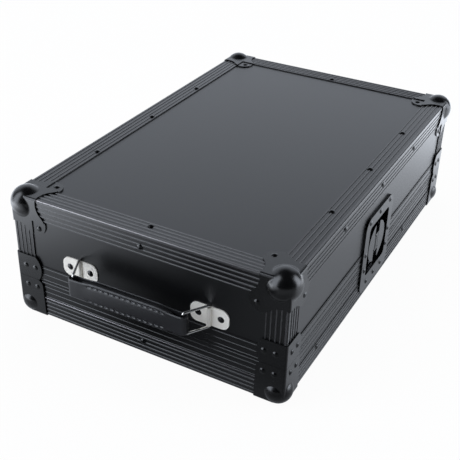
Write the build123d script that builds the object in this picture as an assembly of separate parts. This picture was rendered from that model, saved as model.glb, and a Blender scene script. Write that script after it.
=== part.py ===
from build123d import *
import math
import os

os.makedirs("parts", exist_ok=True)

# Case over the profiles, with the parting line between base and lid
CASE_W = 346.0
CASE_L = 530.0
CASE_H = 157.0
PART_Z = 49.3
PART_GAP = 0.15
HALF_W = CASE_W / 2
HALF_L = CASE_L / 2
LID_Z = PART_Z + PART_GAP
BASE_Z = PART_Z - PART_GAP

# Plywood panels
PLY = 7.0
FLANGE_WALL = 1.5
PANEL_X = HALF_W - FLANGE_WALL
PANEL_Y = HALF_L - FLANGE_WALL
INNER_X = PANEL_X - PLY
INNER_Y = PANEL_Y - PLY
FLOOR_TOP = FLANGE_WALL + PLY
ROOF_TOP = CASE_H - FLANGE_WALL
ROOF_LOW = ROOF_TOP - PLY

# Angle profiles with ribs along them
FLANGE = 25.5
PROFILE_R = 1.6
RIB_AT = (2.8, 8.3, 13.8, 19.7)
RIB_FOOT = 1.9
EDGE_RIB = 1.0
BAND_D = 0.6
MITRE = 60.0
END_GAP = 0.2

# Rails that cap the panel edges, tongue below and groove above
RAIL_WALL = 0.9
RAIL_X = PANEL_X + RAIL_WALL
RAIL_Y = PANEL_Y + RAIL_WALL
RAIL_TOP = 69.5
RAIL_LIP = 12.0
RAIL_LIP_WALL = 1.0
BASE_WEB = 3.0
LID_WEB = 7.0
TONGUE_W = 2.6
TONGUE_H = 3.5
TONGUE_SIDE = 0.9
TONGUE_TOP = 1.1
RAIL_RIB_FOOT = 1.7
RAIL_BAND_D = 0.5
BASE_RIBS = (33.0, 40.0, 45.5)
LID_RIBS = (57.6, 66.0)
WALL_TOP = BASE_Z - BASE_WEB
WALL_LOW = LID_Z + LID_WEB

# Pressed plates over the corners
PLATE = 1.4
PLATE_X = HALF_W + PLATE
PLATE_Y = HALF_L + PLATE
PLATE_EDGE_R = 3.0
LOBE_FROM = 25.9
LOBE_STEP = 27.4
LOBE_T = 1.6

# Ball corners of the lid, as distances from the case edges
LID_BALL_R = 19.0
LID_BALL_IN = 12.3
LID_BALL_WALL = 1.6
LID_FLARE_R = 3.5
SHELL_GAP = 0.2
LEG_END = 34.8
LEG_WAIST = (34.2, 9.0)
LEG_LOBE = (37.2, 17.3)
LOBE_START = (43.2, 24.2)
LOBE_MID = 41.2
LID_LOBE_RIVET = 36.0

# Corner braces at the lower edge of the lid
BRACE_TOP = 79.6
BRACE_LOW_A = 29.0
BRACE_MID = (33.6, 65.5)
BRACE_TOP_A = 27.0
CORNER_RIVETS = (11.5, 25.0)
BRACE_RIVET_Z = 65.0

# Ball corners of the base
BASE_BALL_R = 16.5
BASE_BALL_IN = 11.3
BASE_BALL_WALL = 1.4
FOOT_CUT = 0.3
FOOT_Z = BASE_BALL_IN - BASE_BALL_R + FOOT_CUT
BASE_LEG_A = 34.3
BASE_LEG_SHOULDER = (33.4, 40.0)
BASE_LEG_ARC = (31.0, 46.4)
BASE_LEG_TOP_A = 25.5
BASE_RIVET_Z = 38.0
BOTTOM_LEG_R = 12.0
BOTTOM_RIVET = 30.0

# Rivets with domed heads
RIVET_R = 3.75
RIVET_H = 1.6
SHANK_R = 2.0
SHANK_BITE = 5.0
HOLE_GAP = 0.15
TOP_EDGE_IN = 20.5
TOP_END_IN = 20.0
LEFT_TOP_Y = (-131.0, -8.5, 108.0)
RIGHT_TOP_Y = (-118.0, 0.0, 119.0)
SIDE_LID_Y = (-124.0, -5.5, 110.6)
SIDE_LID_DOWN = 13.5
END_LID_X = -1.5
END_LID_DOWN = 15.8
SIDE_BASE_Y = (-179.0, 115.0)
SIDE_BASE_Z = 18.5
END_BASE_Z = 14.9

# Latch dish in the right-hand side
DISH_Y = -5.0
DISH_HALF = 47.0
DISH_LOW = 8.0
DISH_TOP = 113.8
DISH_R = 14.0
PAN_HALF = 33.0
PAN_LOW = 30.0
PAN_TOP = 99.0
PAN_R = 6.0
PAN_WALL = 1.2
PAN_DEPTH = 13.6
PAN_BACK = HALF_W - PAN_DEPTH
SKIRT = 1.2
CUT_GAP = 0.4
DISH_TOP_RIVETS = ((-34.0, 107.5), (0.0, 107.5), (34.0, 107.5), (-38.5, 64.0), (38.5, 64.0))
DISH_LOW_RIVETS = ((-37.5, 41.5), (37.5, 41.5), (-25.0, 19.0), (0.0, 19.0), (25.0, 19.0))

# Latch rotor, wings, hook plate and keeper
ROTOR_Z = 64.5
ECC = 3.5
ECC_R = 7.5
ECC_STAND = 2.0
ECC_T = 7.0
ECC_X0 = PAN_BACK + ECC_STAND
ECC_X1 = ECC_X0 + ECC_T
HUB_R = 11.5
HUB_T = 2.0
HUB_X1 = ECC_X1 + HUB_T
SPINDLE_R = 3.5
SPINDLE_GAP = 0.3
NUT_R = 5.5
NUT_T = 1.6
WING_R = 27.0
WING_AXIS_Y = 4.2
WING_STAND = 1.0
WING_X0 = HUB_X1 + WING_STAND
WING_T = 2.0
WING_AXIS_IN = 0.8
WING_AXIS_X = WING_X0 + WING_AXIS_IN
KNUCKLE_R = 1.6
KNUCKLE_HALF = 9.9
WING_PIN_R = 0.75
WING_PIN_GAP = 0.2
LUG_T = 2.0
LUG_GAP = 0.4
LUG_Y = 6.4
LUG_PROUD = 0.4
LUG_X1 = WING_X0 + WING_T + LUG_PROUD
RIB_HALF = 2.2
WING_NOTCH_Y = 7.0
HOOK_STAND = 5.5
HOOK_X = PAN_BACK + HOOK_STAND
HOOK_T = 2.9
HOOK_HALF = 15.0
WINDOW_SIDE = 3.8
WINDOW_HALF = ECC_R + WINDOW_SIDE
WINDOW_PLAY = 1.0
WINDOW_UP = ECC_R + WINDOW_PLAY
HOOK_HEAD = 4.0
HOOK_SHOULDER = 6.0
SHANK_T = 1.5
SHANK_BELOW_HUB = 3.0
CLAW_TOP = 35.2
CLAW_H = 3.0
CLAW_HALF = 7.0
GUIDE_GAP = 0.3
GUIDE_T = 2.0
GUIDE_LOW = 56.0
GUIDE_TOP = 82.0
GUIDE_H = 8.8
GUIDE_X1 = PAN_BACK + GUIDE_H
KEEPER_T = 1.2
KEEPER_HALF = 14.0
KEEPER_LOW = 31.5
KEEPER_TOP = 47.0
LIP_HALF = 9.0
LIP_LOW = 42.5
LIP_T = 2.0
LIP_REACH = 5.0
LIP_X = PAN_BACK + LIP_REACH
KEEPER_HEAD_R = 2.5
KEEPER_RIVET_Y = 11.5
KEEPER_RIVET_Z = 39.0

# Butt hinges on the left-hand side
HINGE_Y = (-150.0, 150.0)
HINGE_OUT = 4.1
HINGE_X = -(RAIL_X + HINGE_OUT)
BARREL_R = 3.0
PIN_R = 1.5
PIN_GAP = 0.1
PIN_HEAD_R = 2.6
PIN_HEAD_T = 1.0
LEAF_W = 40.0
LEAF_T = 1.5
LEAF_GAP = 0.3
BASE_LEAF_LOW = 27.0
LID_LEAF_TOP = 69.0
KNUCKLES = 5
KNUCKLE_GAP = 0.2
LEAF_RIVET_Y = 12.0
BASE_LEAF_RIVET_Z = 37.0
LID_LEAF_RIVET_Z = 61.5

# Handle on the front
HANDLE_Z = 83.5
BRACKET_X = 83.2
BRACKET_W = 46.6
BRACKET_H = 24.0
BRACKET_R = 9.0
BRACKET_T = 1.4
BRACKET_RIVET = 13.7
BRACKET_HEAD_R = 4.0
RING_AXIS_OUT = 2.1
SLEEVE_R = 2.9
SLEEVE_H = 23.4
WIRE_R = 1.4
WIRE_GAP = 0.25
RING_ARM_Z = 13.7
RING_REACH = 30.2
RING_BEND = 2.0
LEAN_LEFT = 24.5
LEAN_RIGHT = 33.0
RING_Y = -(PANEL_Y + RING_AXIS_OUT)

# Padded strap between the rings
STRAP_R = 5.5
STRAP_END_H = 23.4
STRAP_MID_H = 27.6
STRAP_TAPER_0 = 10.0
STRAP_TAPER_1 = 32.0
LOOP_GAP = 0.3
PLAY_GAP = 1.2

# Foam lining
SOFT_GAP = 0.3
PAD_H = 20.0
LID_PAD_H = 13.2
LINER_T = 5.0
LINER_X = INNER_X - RAIL_LIP_WALL - SOFT_GAP
LINER_Y = INNER_Y - RAIL_LIP_WALL - SOFT_GAP

# The drawing is centred on the case, the part on its outer box
LEFT_LEG = (
    -BRACKET_X + RING_REACH * math.sin(math.radians(LEAN_LEFT)),
    RING_Y - RING_REACH * math.cos(math.radians(LEAN_LEFT)),
)
RIGHT_LEG = (
    BRACKET_X - RING_REACH * math.sin(math.radians(LEAN_RIGHT)),
    RING_Y - RING_REACH * math.cos(math.radians(LEAN_RIGHT)),
)
FAR = CASE_L
PAST = 1.0
SAME = 0.01
BACK_REACH = HALF_L - LID_BALL_IN + LID_BALL_R
FRONT_REACH = -LEFT_LEG[1] + STRAP_R
SHIFT_Y = (FRONT_REACH - BACK_REACH) / 2
SHIFT_Z = -FOOT_Z
SIDES = ("front", "back", "left", "right")


def save(name, shape):
    solids = [Pos(0, SHIFT_Y, SHIFT_Z) * solid for solid in shape.solids()]
    placed = solids[0] if len(solids) == 1 else Compound(solids)
    export_step(placed, "parts/" + name + ".step")


def block(x0, x1, y0, y1, z0, z1):
    return Pos((x0 + x1) / 2, (y0 + y1) / 2, (z0 + z1) / 2) * Box(x1 - x0, y1 - y0, z1 - z0)


def rod(at, along, radius, length):
    return Plane(origin=at, z_dir=along).location * Pos(0, 0, length / 2) * Cylinder(radius, length)


def ball(at, radius):
    return Pos(*at) * Sphere(radius)


def upright_plate(sketch, x0, x1):
    return extrude(Plane.YZ.offset(x0) * sketch, x1 - x0)


def level_plate(sketch, z0, z1):
    return extrude(Plane.XY.offset(z0) * sketch, z1 - z0)


def to_other_face(shape):
    return mirror(shape, about=Plane(origin=(HALF_W, HALF_L, 0), z_dir=(1, -1, 0)))


def turned(shape, side_x, side_y):
    if side_x < 0:
        shape = mirror(shape, about=Plane.YZ)
    if side_y < 0:
        shape = mirror(shape, about=Plane.XZ)
    return shape


def mitre_prism(side):
    if side in ("front", "back"):
        outer = ((-HALF_W, -HALF_L), (HALF_W, -HALF_L))
        inner = ((HALF_W - MITRE, MITRE - HALF_L), (MITRE - HALF_W, MITRE - HALF_L))
    else:
        outer = ((HALF_W, -HALF_L), (HALF_W, HALF_L))
        inner = ((HALF_W - MITRE, HALF_L - MITRE), (HALF_W - MITRE, MITRE - HALF_L))
    return extrude(Polygon(*outer, *inner, align=None), CASE_H)


def along_side(section, side):
    if side in ("front", "back"):
        plane = Plane(origin=(-HALF_W, -HALF_L, 0), x_dir=(0, 1, 0), z_dir=(1, 0, 0))
        bar = extrude(plane * section, CASE_W) & mitre_prism(side)
    else:
        plane = Plane(origin=(HALF_W, -HALF_L, 0), x_dir=(-1, 0, 0), z_dir=(0, 1, 0))
        bar = extrude(plane * section, CASE_L) & mitre_prism(side)
    if side == "back":
        bar = mirror(bar, about=Plane.XZ)
    if side == "left":
        bar = mirror(bar, about=Plane.YZ)
    return bar


def flat(u0, u1, v0, v1):
    return Pos((u0 + u1) / 2, (v0 + v1) / 2) * Rectangle(u1 - u0, v1 - v0)


# Rivets: where they sit, which way they face and how long they are
def rivet_at(face, u, v, seat):
    if face == "right":
        return ((seat, u, v), (1, 0, 0), seat - PANEL_X + SHANK_BITE)
    if face == "left":
        return ((-seat, u, v), (-1, 0, 0), seat - PANEL_X + SHANK_BITE)
    if face == "back":
        return ((u, seat, v), (0, 1, 0), seat - PANEL_Y + SHANK_BITE)
    if face == "front":
        return ((u, -seat, v), (0, -1, 0), seat - PANEL_Y + SHANK_BITE)
    if face == "top":
        return ((u, v, seat), (0, 0, 1), seat - ROOF_TOP + SHANK_BITE)
    return ((u, v, -seat), (0, 0, -1), seat + FLANGE_WALL + SHANK_BITE)


def rivet(place, head_r=RIVET_R):
    at, out, grip = place
    dome_r = (head_r**2 + RIVET_H**2) / (2 * RIVET_H)
    head = Pos(0, 0, RIVET_H - dome_r) * Sphere(dome_r)
    head = head & Pos(0, 0, RIVET_H) * Box(4 * head_r, 4 * head_r, 2 * RIVET_H)
    shank = Pos(0, 0, -grip / 2) * Cylinder(SHANK_R, grip)
    return Plane(origin=at, z_dir=out).location * (head + shank)


def hole(place):
    at, out, grip = place
    deep = grip + 2 * HOLE_GAP
    drill = Pos(0, 0, PAST - deep / 2) * Cylinder(SHANK_R + HOLE_GAP, deep + 2 * PAST)
    return Plane(origin=at, z_dir=out).location * drill


def drilled(shape, places):
    box = shape.bounding_box()
    drills = []
    for place in places:
        drill = hole(place)
        near = drill.bounding_box()
        apart = [
            near.min.X > box.max.X, near.max.X < box.min.X,
            near.min.Y > box.max.Y, near.max.Y < box.min.Y,
            near.min.Z > box.max.Z, near.max.Z < box.min.Z,
        ]
        if not any(apart):
            drills.append(drill)
    if not drills:
        return shape
    return shape - drills


FACES_X = (("right", HALF_W), ("left", HALF_W))
FACES_Y = (("front", HALF_L), ("back", HALF_L))
lid_rivets = []
base_rivets = []
for y in RIGHT_TOP_Y:
    lid_rivets.append(rivet_at("top", HALF_W - TOP_EDGE_IN, y, CASE_H))
    base_rivets.append(rivet_at("bottom", HALF_W - TOP_EDGE_IN, y, 0))
for y in LEFT_TOP_Y:
    lid_rivets.append(rivet_at("top", TOP_EDGE_IN - HALF_W, y, CASE_H))
    base_rivets.append(rivet_at("bottom", TOP_EDGE_IN - HALF_W, y, 0))
for sign in (-1, 1):
    lid_rivets.append(rivet_at("top", 0, sign * (HALF_L - TOP_END_IN), CASE_H))
    base_rivets.append(rivet_at("bottom", 0, sign * (HALF_L - TOP_END_IN), 0))
for face, seat in FACES_X:
    for y in SIDE_LID_Y:
        lid_rivets.append(rivet_at(face, y, CASE_H - SIDE_LID_DOWN, seat))
    for y in SIDE_BASE_Y:
        base_rivets.append(rivet_at(face, y, SIDE_BASE_Z, seat))
    for sign in (-1, 1):
        lobe_y = sign * (HALF_L - LID_LOBE_RIVET)
        lid_rivets.append(rivet_at(face, lobe_y, CASE_H - LID_LOBE_RIVET, PANEL_X + LOBE_T))
        for a in CORNER_RIVETS:
            lid_rivets.append(rivet_at(face, sign * (HALF_L - a), BRACE_RIVET_Z, seat + PLATE))
            base_rivets.append(rivet_at(face, sign * (HALF_L - a), BASE_RIVET_Z, seat + PLATE))
for face, seat in FACES_Y:
    lid_rivets.append(rivet_at(face, END_LID_X, CASE_H - END_LID_DOWN, seat))
    base_rivets.append(rivet_at(face, END_LID_X, END_BASE_Z, seat))
    for sign in (-1, 1):
        lobe_x = sign * (HALF_W - LID_LOBE_RIVET)
        lid_rivets.append(rivet_at(face, lobe_x, CASE_H - LID_LOBE_RIVET, PANEL_Y + LOBE_T))
        for a in CORNER_RIVETS:
            lid_rivets.append(rivet_at(face, sign * (HALF_W - a), BRACE_RIVET_Z, seat + PLATE))
            base_rivets.append(rivet_at(face, sign * (HALF_W - a), BASE_RIVET_Z, seat + PLATE))
for sign_x in (-1, 1):
    for sign_y in (-1, 1):
        x = sign_x * (HALF_W - LID_LOBE_RIVET)
        y = sign_y * (HALF_L - LID_LOBE_RIVET)
        lid_rivets.append(rivet_at("top", x, y, ROOF_TOP + LOBE_T))
        x = sign_x * (HALF_W - BOTTOM_RIVET)
        y = sign_y * (HALF_L - BOTTOM_RIVET)
        base_rivets.append(rivet_at("bottom", x, y, PLATE))
for dy, z in DISH_TOP_RIVETS:
    lid_rivets.append(rivet_at("right", DISH_Y + dy, z, PLATE_X))
for dy, z in DISH_LOW_RIVETS:
    base_rivets.append(rivet_at("right", DISH_Y + dy, z, PLATE_X))
for y in HINGE_Y:
    for dy in (-LEAF_RIVET_Y, LEAF_RIVET_Y):
        lid_rivets.append(rivet_at("left", y + dy, LID_LEAF_RIVET_Z, RAIL_X + LEAF_T))
        base_rivets.append(rivet_at("left", y + dy, BASE_LEAF_RIVET_Z, RAIL_X + LEAF_T))
handle_rivets = []
for side in (-1, 1):
    for dx in (-BRACKET_RIVET, BRACKET_RIVET):
        handle_rivets.append(rivet_at("front", side * BRACKET_X + dx, HANDLE_Z, PANEL_Y + BRACKET_T))
lid_holes = lid_rivets + handle_rivets
save("lid_rivets", Compound(children=[rivet(p) for p in lid_rivets]))
save("base_rivets", Compound(children=[rivet(p) for p in base_rivets]))
save("handle_rivets", Compound(children=[rivet(p, BRACKET_HEAD_R) for p in handle_rivets]))

# Shapes that several pieces are cut with
lid_ball_at = (HALF_W - LID_BALL_IN, HALF_L - LID_BALL_IN, CASE_H - LID_BALL_IN)
base_ball_at = (HALF_W - BASE_BALL_IN, HALF_L - BASE_BALL_IN, BASE_BALL_IN)
lid_octant = block(lid_ball_at[0], FAR, lid_ball_at[1], FAR, lid_ball_at[2], FAR)
base_octant = block(base_ball_at[0], FAR, base_ball_at[1], FAR, -FAR, base_ball_at[2])
lid_tip = lid_octant - ball(lid_ball_at, LID_BALL_R - LID_BALL_WALL - SHELL_GAP)
base_tip = base_octant - ball(base_ball_at, BASE_BALL_R - BASE_BALL_WALL - SHELL_GAP)
lid_tips = [turned(lid_tip, sx, sy) for sx in (-1, 1) for sy in (-1, 1)]
base_tips = [turned(base_tip, sx, sy) for sx in (-1, 1) for sy in (-1, 1)]
pan_cut = block(
    PAN_BACK - PAN_WALL - CUT_GAP, PLATE_X + PAST,
    DISH_Y - PAN_HALF - PAN_WALL - CUT_GAP, DISH_Y + PAN_HALF + PAN_WALL + CUT_GAP,
    PAN_LOW - PAN_WALL - CUT_GAP, PAN_TOP + PAN_WALL + CUT_GAP,
)

# Panels
floor_panel = block(-PANEL_X, PANEL_X, -PANEL_Y, PANEL_Y, FLANGE_WALL, FLOOR_TOP)
save("base_floor", drilled(floor_panel - base_tips, base_rivets))
roof_panel = block(-PANEL_X, PANEL_X, -PANEL_Y, PANEL_Y, ROOF_LOW, ROOF_TOP)
save("lid_roof", drilled(roof_panel - lid_tips, lid_holes))
walls = (("base", FLOOR_TOP, WALL_TOP, base_rivets), ("lid", WALL_LOW, ROOF_LOW, lid_holes))
for part, low, high, places in walls:
    side_wall = block(INNER_X, PANEL_X, -PANEL_Y, PANEL_Y, low, high)
    end_wall = block(-INNER_X, INNER_X, -PANEL_Y, -INNER_Y, low, high)
    save(part + "_wall_right", drilled(side_wall - pan_cut, places))
    save(part + "_wall_left", drilled(mirror(side_wall, about=Plane.YZ), places))
    save(part + "_wall_front", drilled(end_wall, places))
    save(part + "_wall_back", drilled(mirror(end_wall, about=Plane.XZ), places))


# Bands between the ribs, with sloping sides
def bands(ribs, foot, last):
    starts = [rib + foot / 2 - BAND_D / 2 for rib in ribs]
    ends = [rib - foot / 2 + BAND_D / 2 for rib in ribs[1:]] + [last]
    return list(zip(starts, ends))


# Angle profiles round the top, round the bottom and up the corners
def angle_section():
    section = flat(0, FLANGE, 0, FLANGE_WALL) + flat(0, FLANGE_WALL, 0, FLANGE)
    outer = section.vertices().sort_by_distance((0, 0, 0))[0]
    section = fillet(outer, PROFILE_R)
    for start, end in bands(RIB_AT, RIB_FOOT, FLANGE - EDGE_RIB):
        across = ((start, 0), (end, 0), (end - BAND_D, BAND_D), (start + BAND_D, BAND_D))
        section -= Polygon(*across, align=None)
        section -= Polygon(*[(v, u) for u, v in reversed(across)], align=None)
    return section


angle = angle_section()
mid_height = Plane(origin=(0, 0, CASE_H / 2), z_dir=(0, 0, 1))
for side in SIDES:
    bar = along_side(angle, side)
    save("base_profile_" + side, drilled(bar - base_tips, base_rivets))
    save("lid_profile_" + side, drilled(mirror(bar, about=mid_height) - lid_tips, lid_holes))
post_low = RAIL_TOP + END_GAP
post_high = CASE_H - FLANGE - END_GAP
post_plane = Plane(origin=(HALF_W, HALF_L, post_low), x_dir=(-1, 0, 0), z_dir=(0, 0, 1))
post = extrude(post_plane * angle, post_high - post_low)
for side_y, label in ((-1, "front"), (1, "back")):
    posts = Compound(children=[drilled(turned(post, sx, side_y), lid_holes) for sx in (-1, 1)])
    save("lid_posts_" + label, posts)

# Rails
out_u = HALF_W - RAIL_X
face_u = HALF_W - PANEL_X
back_u = HALF_W - INNER_X
lip_u = back_u + RAIL_LIP_WALL


def banded(section, ribs, first, last):
    starts = [first] + [rib + RAIL_RIB_FOOT / 2 - RAIL_BAND_D / 2 for rib in ribs]
    ends = [rib - RAIL_RIB_FOOT / 2 + RAIL_BAND_D / 2 for rib in ribs] + [last]
    deep_u = out_u + RAIL_BAND_D
    for low, high in zip(starts, ends):
        corners = ((out_u, low), (deep_u, low + RAIL_BAND_D), (deep_u, high - RAIL_BAND_D), (out_u, high))
        section -= Polygon(*corners, align=None)
    return section


tongue_u = (face_u + back_u) / 2
base_section = flat(out_u, lip_u, WALL_TOP, BASE_Z)
base_section += flat(out_u, face_u, FLANGE + END_GAP, BASE_Z)
base_section += flat(back_u, lip_u, WALL_TOP - RAIL_LIP, BASE_Z)
base_section += flat(tongue_u - TONGUE_W / 2, tongue_u + TONGUE_W / 2, WALL_TOP, BASE_Z + TONGUE_H)
base_section = banded(base_section, BASE_RIBS, FLANGE + END_GAP + EDGE_RIB, BASE_Z - EDGE_RIB)
groove_half = TONGUE_W / 2 + TONGUE_SIDE
lid_section = flat(out_u, lip_u, LID_Z, WALL_LOW)
lid_section += flat(out_u, face_u, LID_Z, RAIL_TOP)
lid_section += flat(back_u, lip_u, LID_Z, WALL_LOW + RAIL_LIP)
lid_section -= flat(tongue_u - groove_half, tongue_u + groove_half, LID_Z, BASE_Z + TONGUE_H + TONGUE_TOP)
lid_section = banded(lid_section, LID_RIBS, LID_Z + EDGE_RIB, RAIL_TOP - EDGE_RIB)
for label, sides in (("ends", ("front", "back")), ("left", ("left",)), ("right", ("right",))):
    base_bars = [drilled(along_side(base_section, s) - pan_cut, base_rivets) for s in sides]
    lid_bars = [drilled(along_side(lid_section, s) - pan_cut, lid_holes) for s in sides]
    save("base_rail_" + label, Compound(children=base_bars))
    save("lid_rail_" + label, Compound(children=lid_bars))


# Outlines of the corner plates, as distances from the case edges
def lid_leg(to_x, to_y):
    def p(a, b):
        return (to_x - a, to_y - b)

    edges = [
        Line(p(-PLATE, -PLATE), p(LEG_END, -PLATE)),
        Line(p(LEG_END, -PLATE), p(LEG_END, 0)),
        ThreePointArc(p(LEG_END, 0), p(*LEG_WAIST), p(*LEG_LOBE)),
        Line(p(*LEG_LOBE), p(*LOBE_START)),
        ThreePointArc(p(*LOBE_START), p(LOBE_MID, LOBE_MID), p(LOBE_START[1], LOBE_START[0])),
        Line(p(LOBE_START[1], LOBE_START[0]), p(LEG_LOBE[1], LEG_LOBE[0])),
        ThreePointArc(p(LEG_LOBE[1], LEG_LOBE[0]), p(LEG_WAIST[1], LEG_WAIST[0]), p(0, LEG_END)),
        Line(p(0, LEG_END), p(-PLATE, LEG_END)),
        Line(p(-PLATE, LEG_END), p(-PLATE, -PLATE)),
    ]
    return make_face(edges)


def lobe_square(to_x, to_y, start):
    return flat(to_x - 2 * LOBE_MID, to_x - start, to_y - 2 * LOBE_MID, to_y - start)


def shell_of(plates, octant, at, radius, wall, core):
    return ((plates - octant) + ball(at, radius)) - (core - octant) - ball(at, radius - wall)


def flared(shape, radius, inset, flare):
    meet = math.sqrt(radius**2 - (inset + PLATE) ** 2)
    arcs = shape.edges().filter_by(GeomType.CIRCLE)
    return fillet([arc for arc in arcs if abs(arc.radius - meet) < SAME], flare)


leg_side = lid_leg(HALF_L, CASE_H)
leg_top = lid_leg(HALF_W, HALF_L)
side_plate = upright_plate(leg_side - lobe_square(HALF_L, CASE_H, LOBE_STEP), HALF_W, PLATE_X)
top_plate = level_plate(leg_top - lobe_square(HALF_W, HALF_L, LOBE_STEP), CASE_H, CASE_H + PLATE)
side_lobe = upright_plate(leg_side & lobe_square(HALF_L, CASE_H, LOBE_FROM), PANEL_X, PANEL_X + LOBE_T)
top_lobe = level_plate(leg_top & lobe_square(HALF_W, HALF_L, LOBE_FROM), ROOF_TOP, ROOF_TOP + LOBE_T)
side_band = lobe_square(HALF_L, CASE_H, LOBE_FROM) - lobe_square(HALF_L, CASE_H, LOBE_STEP)
side_step = upright_plate(leg_side & side_band, PANEL_X, PLATE_X)
top_band = lobe_square(HALF_W, HALF_L, LOBE_FROM) - lobe_square(HALF_W, HALF_L, LOBE_STEP)
top_step = level_plate(leg_top & top_band, ROOF_TOP, CASE_H + PLATE)
outer_box = block(-PLATE_X, PLATE_X, -PLATE_Y, PLATE_Y, -PLATE, CASE_H + PLATE)
outer_box = fillet(outer_box.edges(), PLATE_EDGE_R)
lid_plates = (side_plate + to_other_face(side_plate) + top_plate) & outer_box
lid_core = block(0, HALF_W, 0, HALF_L, 0, CASE_H)
lid_corner = shell_of(lid_plates, lid_octant, lid_ball_at, LID_BALL_R, LID_BALL_WALL, lid_core)
lid_corner = flared(lid_corner, LID_BALL_R, LID_BALL_IN, LID_FLARE_R)
lid_corner = lid_corner + side_lobe + to_other_face(side_lobe) + top_lobe
lid_corner = lid_corner + side_step + to_other_face(side_step) + top_step
for side_x, name_x in ((-1, "left"), (1, "right")):
    for side_y, name_y in ((-1, "front"), (1, "back")):
        piece = turned(lid_corner, side_x, side_y)
        save("lid_corner_" + name_y + "_" + name_x, drilled(piece, lid_rivets))

# Ball corners of the base, their lowest points cut flat to stand on
leg_edges = [
    Line((HALF_L + PLATE, -PLATE), (HALF_L - BASE_LEG_A, -PLATE)),
    Line((HALF_L - BASE_LEG_A, -PLATE), (HALF_L - BASE_LEG_SHOULDER[0], BASE_LEG_SHOULDER[1])),
    ThreePointArc(
        (HALF_L - BASE_LEG_SHOULDER[0], BASE_LEG_SHOULDER[1]),
        (HALF_L - BASE_LEG_ARC[0], BASE_LEG_ARC[1]),
        (HALF_L - BASE_LEG_TOP_A, BASE_Z),
    ),
    Line((HALF_L - BASE_LEG_TOP_A, BASE_Z), (HALF_L + PLATE, BASE_Z)),
    Line((HALF_L + PLATE, BASE_Z), (HALF_L + PLATE, -PLATE)),
]
leg = make_face(leg_edges)
side_plate = upright_plate(leg, RAIL_X, PLATE_X)
bottom_leg = flat(HALF_W - BASE_LEG_A, HALF_W + PLATE, HALF_L - BASE_LEG_A, HALF_L + PLATE)
inner = bottom_leg.vertices().sort_by_distance((0, 0, 0))[0]
bottom_plate = level_plate(fillet(inner, BOTTOM_LEG_R), -PLATE, 0)
base_core = block(0, HALF_W, 0, HALF_L, 0, FLANGE + END_GAP / 2)
base_core = base_core + block(0, RAIL_X, 0, RAIL_Y, 0, CASE_H)
base_plates = (side_plate + to_other_face(side_plate) + bottom_plate) & outer_box
base_corner = shell_of(base_plates, base_octant, base_ball_at, BASE_BALL_R, BASE_BALL_WALL, base_core)
base_corner = base_corner - block(0, FAR, 0, FAR, -FAR, FOOT_Z)
for side_x, name_x in ((-1, "left"), (1, "right")):
    for side_y, name_y in ((-1, "front"), (1, "back")):
        piece = turned(base_corner, side_x, side_y)
        save("base_corner_" + name_y + "_" + name_x, drilled(piece, base_rivets))

# Braces round the lower corners of the lid
brace_edges = [
    Line((PLATE_Y, LID_Z), (HALF_L - BRACE_LOW_A, LID_Z)),
    ThreePointArc(
        (HALF_L - BRACE_LOW_A, LID_Z), (HALF_L - BRACE_MID[0], BRACE_MID[1]), (HALF_L - BRACE_TOP_A, BRACE_TOP)
    ),
    Line((HALF_L - BRACE_TOP_A, BRACE_TOP), (PLATE_Y, BRACE_TOP)),
    Line((PLATE_Y, BRACE_TOP), (PLATE_Y, LID_Z)),
]
brace_plate = upright_plate(make_face(brace_edges), RAIL_X, PLATE_X)
brace_core = block(0, HALF_W, 0, HALF_L, RAIL_TOP + END_GAP / 2, CASE_H)
brace_core = brace_core + block(0, RAIL_X, 0, RAIL_Y, 0, CASE_H)
brace = ((brace_plate + to_other_face(brace_plate)) & outer_box) - brace_core
for side_y, label in ((-1, "front"), (1, "back")):
    pieces = [drilled(turned(brace, sx, side_y), lid_rivets) for sx in (-1, 1)]
    save("lid_braces_" + label, Compound(children=pieces))

# Latch dish: one pressing cut at the parting line
dish_z = (DISH_LOW + DISH_TOP) / 2
pan_z = (PAN_LOW + PAN_TOP) / 2
dish_face = Pos(DISH_Y, dish_z) * RectangleRounded(2 * DISH_HALF, DISH_TOP - DISH_LOW, DISH_R)
dish_rim = dish_face - Pos(DISH_Y, dish_z) * RectangleRounded(
    2 * (DISH_HALF - SKIRT), DISH_TOP - DISH_LOW - 2 * SKIRT, DISH_R - SKIRT
)
pan_face = Pos(DISH_Y, pan_z) * RectangleRounded(2 * PAN_HALF, PAN_TOP - PAN_LOW, PAN_R)
pan_outer = Pos(DISH_Y, pan_z) * RectangleRounded(
    2 * (PAN_HALF + PAN_WALL), PAN_TOP - PAN_LOW + 2 * PAN_WALL, PAN_R + PAN_WALL
)
rim = upright_plate(dish_rim, PANEL_X, HALF_W)
rim -= block(0, HALF_W, -FAR, FAR, 0, FLANGE + END_GAP / 2)
rim -= block(0, RAIL_X, -FAR, FAR, 0, RAIL_TOP + END_GAP / 2)
dish = upright_plate(dish_face, HALF_W, PLATE_X) + rim
dish += upright_plate(pan_outer, PAN_BACK - PAN_WALL, PLATE_X)
dish -= upright_plate(pan_face, PAN_BACK, PLATE_X + PAST)
guides = []
for sign in (-1, 1):
    near = HOOK_HALF + GUIDE_GAP
    ends = sorted((DISH_Y + sign * near, DISH_Y + sign * (near + GUIDE_T)))
    guides.append(block(PAN_BACK, GUIDE_X1, ends[0], ends[1], GUIDE_LOW, GUIDE_TOP))
lid_dish = (dish & block(0, FAR, -FAR, FAR, LID_Z, FAR)) + guides
lid_dish -= rod((0, DISH_Y, ROTOR_Z), (1, 0, 0), SPINDLE_R + SPINDLE_GAP, ECC_X0)
save("lid_dish", drilled(lid_dish, lid_rivets))
keeper_places = []
for sign in (-1, 1):
    at = (PAN_BACK + KEEPER_T, DISH_Y + sign * KEEPER_RIVET_Y, KEEPER_RIVET_Z)
    keeper_places.append((at, (1, 0, 0), KEEPER_T + PAN_WALL))
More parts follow.
